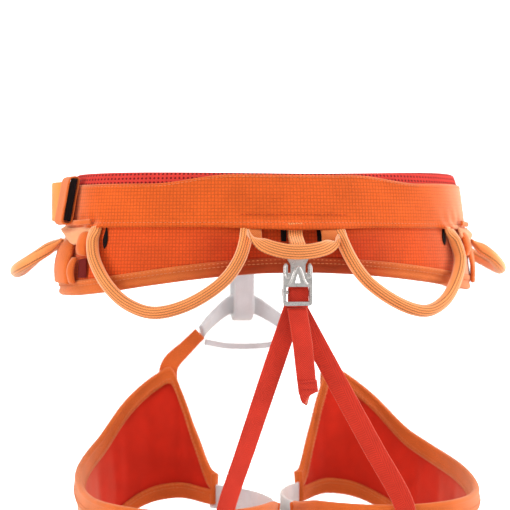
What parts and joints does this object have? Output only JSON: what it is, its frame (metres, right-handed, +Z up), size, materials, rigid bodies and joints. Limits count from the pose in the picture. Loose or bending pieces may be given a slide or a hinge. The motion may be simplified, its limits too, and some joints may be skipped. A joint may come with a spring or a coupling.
{
  "type": "tree climbing saddle",
  "caption": "Padded waist belt with two leg loops on rear straps, gear loops, haul loop, belay loop and a waist buckle.",
  "frame": {"origin": "centre of the waist ring, on the seam between the belt's upper band and its lower shell", "axes": "+Z up, +Y towards the wearer's front (the belay loop), -X towards the wearer's left"},
  "size_m": [0.4118, 0.2711, 0.3298],
  "materials": {
    "red_mesh": "open 3-D mesh, matte",
    "foam": "closed-cell foam, matte",
    "red_webbing": "woven webbing, slight sheen",
    "orange_shell": "woven nylon, matte",
    "orange_ripstop": "ripstop nylon with a fine grid",
    "orange_binding": "folded tape with double stitching",
    "loop_cord": "ribbed woven sleeve over a stiff core",
    "pale_webbing": "folded webbing, matte",
    "gold_webbing": "woven webbing, slight sheen",
    "grey_webbing": "woven webbing, matte",
    "buckle_metal": "anodised, satin",
    "hook_metal": "stamped plate, satin"
  },
  "bodies": {
    "belt": {"belt_lining": "red_mesh", "belt_foam": "foam", "waist_webbing": "red_webbing", "belt_lower_shell": "orange_shell", "belt_upper_band": "orange_ripstop", "belt_top_trim": "red_mesh", "belt_lower_binding": "orange_binding", "hip_anchor_left": "orange_shell", "hip_wrap_left": "pale_webbing", "hip_anchor_right": "orange_shell", "hip_wrap_right": "pale_webbing", "waist_strap": "gold_webbing", "buckle_anchor_webbing": "grey_webbing", "buckle_frame": "buckle_metal", "tail_keeper": "orange_binding", "upper_tie_in_loop": "grey_webbing", "lower_tie_in_loop": "grey_webbing", "leg_bridge_strap": "grey_webbing", "rear_hanger_loop": "orange_binding", "rear_adjust_strap": "red_webbing"},
    "rear_gear_loop_left": {"rear_gear_loop_left": "loop_cord"},
    "rear_gear_loop_right": {"rear_gear_loop_right": "loop_cord"},
    "front_gear_loop_left": {"front_gear_loop_left": "loop_cord"},
    "front_gear_loop_right": {"front_gear_loop_right": "loop_cord"},
    "haul_loop": {"haul_loop": "loop_cord"},
    "belay_loop": {"belay_loop": "grey_webbing"},
    "buckle_slider": {"buckle_slider": "buckle_metal"},
    "strap_tail": {"strap_tail": "gold_webbing"},
    "rear_strap_tail": {"rear_strap_tail": "red_webbing"},
    "rear_hook_plate": {"rear_hook": "hook_metal", "hook_cheeks": "hook_metal", "hook_bar": "hook_metal"},
    "leg_loop_left": {"leg_lining_left": "red_mesh", "leg_foam_left": "foam", "leg_shell_left": "orange_ripstop", "leg_top_binding_left": "orange_binding", "leg_low_binding_left": "orange_binding", "leg_elastic_left": "grey_webbing", "leg_front_strap_left": "orange_binding", "rear_strap_left": "red_webbing"},
    "leg_loop_right": {"leg_lining_right": "red_mesh", "leg_foam_right": "foam", "leg_shell_right": "orange_ripstop", "leg_top_binding_right": "orange_binding", "leg_low_binding_right": "orange_binding", "leg_elastic_right": "grey_webbing", "leg_front_strap_right": "orange_binding", "rear_strap_right": "red_webbing"}
  },
  "joints": [
    {"name": "rear_gear_loop_left_swing", "type": "hinge", "parent": "belt", "child": "rear_gear_loop_left", "pos_m": [-0.03683, -0.09647, -0.0016], "axis": [-0.9176, 0.3975, 0], "range_deg": [0, 70]},
    {"name": "rear_gear_loop_right_swing", "type": "hinge", "parent": "belt", "child": "rear_gear_loop_right", "pos_m": [0.03628, -0.09654, -0.0016], "axis": [-0.9333, -0.3592, 0], "range_deg": [0, 70]},
    {"name": "front_gear_loop_left_swing", "type": "hinge", "parent": "belt", "child": "front_gear_loop_left", "pos_m": [-0.1665, -0.01153, -0.0096], "axis": [0.5325, 0.8464, 0], "range_deg": [-20, 10]},
    {"name": "front_gear_loop_right_swing", "type": "hinge", "parent": "belt", "child": "front_gear_loop_right", "pos_m": [0.1665, -0.01153, -0.0096], "axis": [0.5325, -0.8464, 0], "range_deg": [-20, 10]},
    {"name": "haul_loop_swing", "type": "hinge", "parent": "belt", "child": "haul_loop", "pos_m": [0, -0.09881, -0.0016], "axis": [-1, 0, 0], "range_deg": [0, 75]},
    {"name": "belay_loop_swing", "type": "hinge", "parent": "belt", "child": "belay_loop", "pos_m": [0, 0.11166, 0.008], "axis": [1, 0, 0], "range_deg": [-3, 2]},
    {"name": "buckle_slider_slide", "type": "slide", "parent": "belt", "child": "buckle_slider", "axis": [0.9878, 0.1555, 0], "range_m": [0, 0.004]},
    {"name": "strap_tail_slide", "type": "slide", "parent": "belt", "child": "strap_tail", "axis": [-0.4851, 0.8745, 0], "range_m": [0, 0.006]},
    {"name": "rear_strap_tail_swing", "type": "hinge", "parent": "belt", "child": "rear_strap_tail", "pos_m": [0, -0.10217, -0.0614], "axis": [-1, 0, 0], "range_deg": [0, 70]},
    {"name": "rear_hook_tilt", "type": "hinge", "parent": "belt", "child": "rear_hook_plate", "pos_m": [0, -0.10012, -0.0496], "axis": [1, 0, 0], "range_deg": [-8, 0], "deforming": ["rear_hanger_loop"]},
    {"name": "leg_loop_left_swing", "type": "hinge", "parent": "belt", "child": "leg_loop_left", "pos_m": [-0.0015, -0.09782, -0.064], "axis": [-0.2031, 0.9696, -0.1361], "range_deg": [0, 25]},
    {"name": "leg_loop_right_swing", "type": "hinge", "parent": "belt", "child": "leg_loop_right", "pos_m": [0.0015, -0.09422, -0.064], "axis": [-0.2069, -0.9685, 0.1387], "range_deg": [0, 25]}
  ]
}
